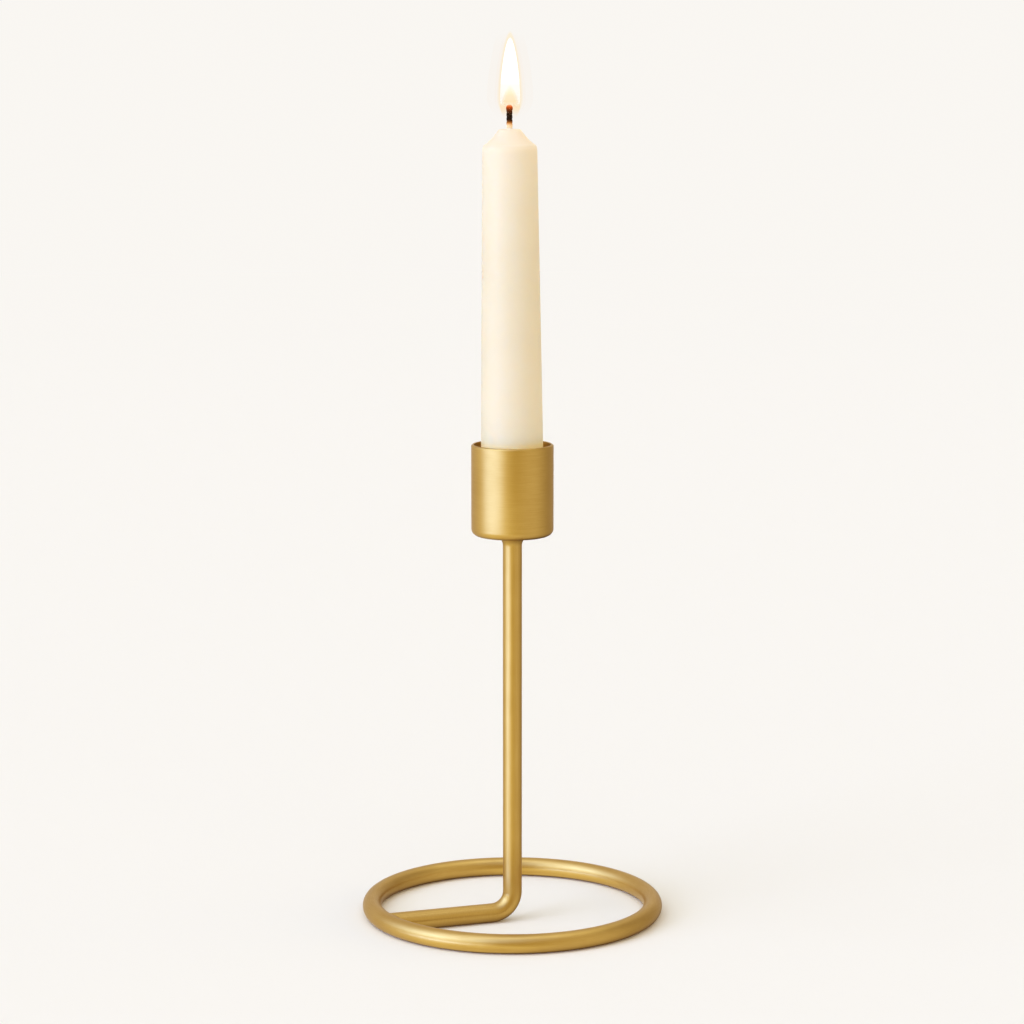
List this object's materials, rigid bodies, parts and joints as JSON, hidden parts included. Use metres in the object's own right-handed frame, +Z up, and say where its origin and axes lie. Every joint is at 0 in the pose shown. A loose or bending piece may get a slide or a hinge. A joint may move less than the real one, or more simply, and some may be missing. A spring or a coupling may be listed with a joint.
{
  "type": "taper candlestick",
  "caption": "Candle holder of bent round brass bar: a foot ring and arm, an upright stem and a turned cup holding a lit ivory taper candle.",
  "frame": {"origin": "on the table, under the middle of the foot ring", "axes": "+Z up along the stem and candle, foot arm from the stem to the ring along -X"},
  "size_m": [0.1016, 0.1016, 0.2955],
  "materials": {
    "satin_brass": "satin, finely brushed",
    "screw_steel": "zinc plated, satin",
    "ivory_wax": "smooth translucent wax with a soft sheen",
    "cotton_wick": "braided cotton, charred at the tip",
    "flame_glow": "glowing candle flame"
  },
  "bodies": {
    "holder": {"base_ring": "satin_brass", "stem": "satin_brass", "cup": "satin_brass", "cup_screw": "screw_steel"},
    "candle": {"candle_wax": "ivory_wax", "wick": "cotton_wick", "flame": "flame_glow"}
  },
  "joints": [
    {"name": "candle_lift", "type": "slide", "parent": "holder", "child": "candle", "axis": [0, 0, 1], "range_m": [0, 0.04]}
  ]
}
